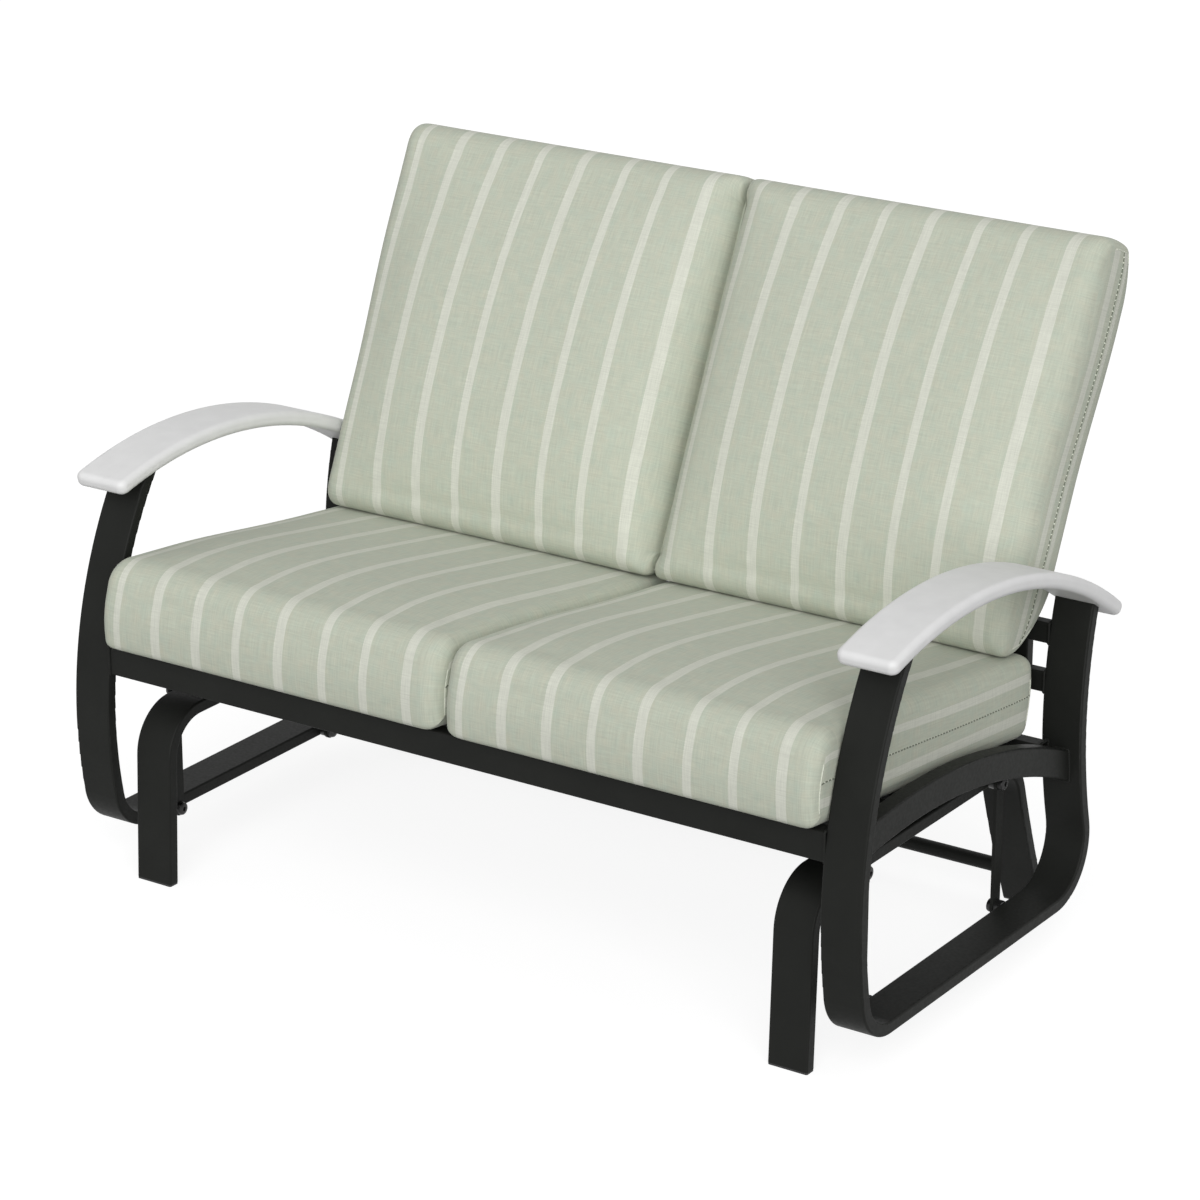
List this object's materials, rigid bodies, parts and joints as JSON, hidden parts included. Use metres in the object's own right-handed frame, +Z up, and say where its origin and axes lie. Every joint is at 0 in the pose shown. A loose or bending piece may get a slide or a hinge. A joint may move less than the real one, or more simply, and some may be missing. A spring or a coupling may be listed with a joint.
{
  "type": "glider bench",
  "caption": "Cushioned outdoor bench whose seat hangs in a standing base on short swinging links and glides front to back.",
  "frame": {"origin": "on the floor under the middle of the bench's overall box", "axes": "+X to the right of someone facing the bench, +Y to the back, +Z up"},
  "size_m": [1.3928, 0.8529, 1],
  "materials": {
    "frame_metal": "satin powder coat, charcoal",
    "arm_board": "light grey moulded board",
    "bush_plastic": "black bearing plastic",
    "black_plastic": "matt black glide plastic",
    "zinc_steel": "zinc plated",
    "dark_steel": "black coated steel",
    "striped_fabric": "sage woven outdoor fabric with off-white stripes"
  },
  "bodies": {
    "base": {"base_frame_left": "frame_metal", "base_frame_right": "frame_metal", "rear_stretcher": "frame_metal", "upper_stretcher": "frame_metal", "foot_glides": "black_plastic", "upper_pivot_inserts": "zinc_steel", "upper_pivot_spacers": "bush_plastic", "upper_pivot_bolts": "dark_steel"},
    "link_front_left": {"hanger_front_left": "frame_metal", "bushes_front_left": "bush_plastic"},
    "link_rear_left": {"hanger_rear_left": "frame_metal", "bushes_rear_left": "bush_plastic"},
    "link_front_right": {"hanger_front_right": "frame_metal", "bushes_front_right": "bush_plastic"},
    "link_rear_right": {"hanger_rear_right": "frame_metal", "bushes_rear_right": "bush_plastic"},
    "seat": {"arm_left": "arm_board", "arm_right": "arm_board", "arm_screws": "zinc_steel", "back_cushion_left": "striped_fabric", "back_cushion_right": "striped_fabric", "back_lower_rail": "frame_metal", "back_slats": "frame_metal", "back_stile_centre": "frame_metal", "back_stile_left": "frame_metal", "back_stile_right": "frame_metal", "back_top_rail": "frame_metal", "back_upper_rail": "frame_metal", "front_rail": "frame_metal", "lower_pivot_bolts": "dark_steel", "lower_pivot_inserts": "zinc_steel", "lower_pivot_spacers": "bush_plastic", "post_end_plates": "zinc_steel", "rear_seat_rail": "frame_metal", "seat_cushion_left": "striped_fabric", "seat_cushion_right": "striped_fabric", "seat_side_rail_left": "frame_metal", "seat_side_rail_right": "frame_metal", "seat_slats": "frame_metal", "seat_spine": "frame_metal", "side_frame_left": "frame_metal", "side_frame_right": "frame_metal"}
  },
  "joints": [
    {"name": "seat_glide", "type": "hinge", "parent": "link_front_left", "child": "seat", "pos_m": [-0.6007, -0.277, 0.0695], "axis": [1, 0, 0], "range_deg": [-15, 15]},
    {"name": "hang_front_left", "type": "hinge", "parent": "base", "child": "link_front_left", "pos_m": [-0.6007, -0.277, 0.2615], "axis": [1, 0, 0], "range_deg": [-15, 15]},
    {"name": "hang_rear_left", "type": "hinge", "parent": "base", "child": "link_rear_left", "pos_m": [-0.6007, 0.099, 0.2615], "axis": [1, 0, 0], "range_deg": [-15, 15]},
    {"name": "hang_front_right", "type": "hinge", "parent": "base", "child": "link_front_right", "pos_m": [0.6007, -0.277, 0.2615], "axis": [1, 0, 0], "range_deg": [-15, 15]},
    {"name": "hang_rear_right", "type": "hinge", "parent": "base", "child": "link_rear_right", "pos_m": [0.6007, 0.099, 0.2615], "axis": [1, 0, 0], "range_deg": [-15, 15]}
  ],
  "couplings": [
    {"joint": "hang_front_left", "follows": "seat_glide", "ratio": -1},
    {"joint": "hang_rear_left", "follows": "seat_glide", "ratio": -1},
    {"joint": "hang_front_right", "follows": "seat_glide", "ratio": -1},
    {"joint": "hang_rear_right", "follows": "seat_glide", "ratio": -1}
  ]
}
